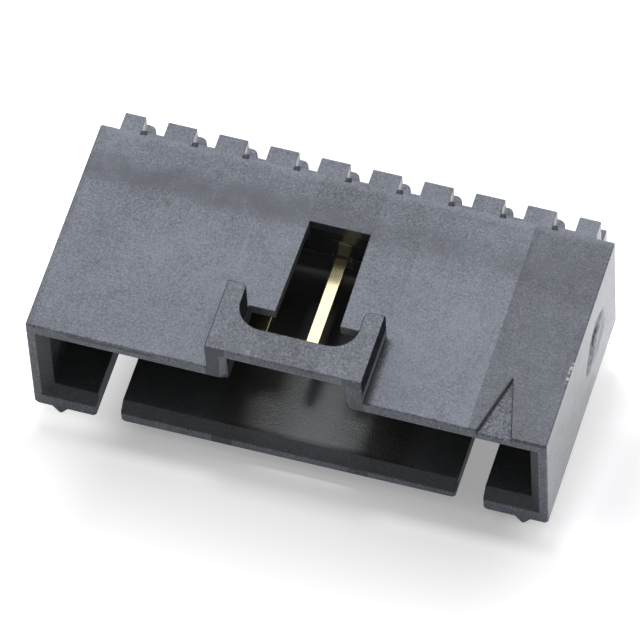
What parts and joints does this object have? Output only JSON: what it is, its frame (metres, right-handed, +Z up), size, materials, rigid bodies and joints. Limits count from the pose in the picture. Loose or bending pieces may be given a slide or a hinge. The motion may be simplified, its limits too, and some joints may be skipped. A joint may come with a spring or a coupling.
{
  "type": "wire-to-board connector",
  "caption": "Right-angle shrouded board header: moulded housing with a latch bridge over its mouth and a row of square plated contacts bent down to solder tails.",
  "frame": {"origin": "middle of the row of solder tails, on the top face of the board", "axes": "+X along the row towards circuit one, +Y from the mouth to the tails, +Z up from the board"},
  "size_m": [0.0254, 0.0136, 0.0124],
  "materials": {
    "black_moulding": "fine spark-eroded grain outside, polished inside the cavity",
    "gold_contact": "smooth gold plating, bright tin on the solder tails"
  },
  "bodies": {
    "root": {"housing": "black_moulding", "contact_pin_1": "gold_contact", "contact_pin_2": "gold_contact", "contact_pin_3": "gold_contact", "contact_pin_4": "gold_contact", "contact_pin_5": "gold_contact", "contact_pin_6": "gold_contact", "contact_pin_7": "gold_contact", "contact_pin_8": "gold_contact", "contact_pin_9": "gold_contact"}
  },
  "joints": []
}
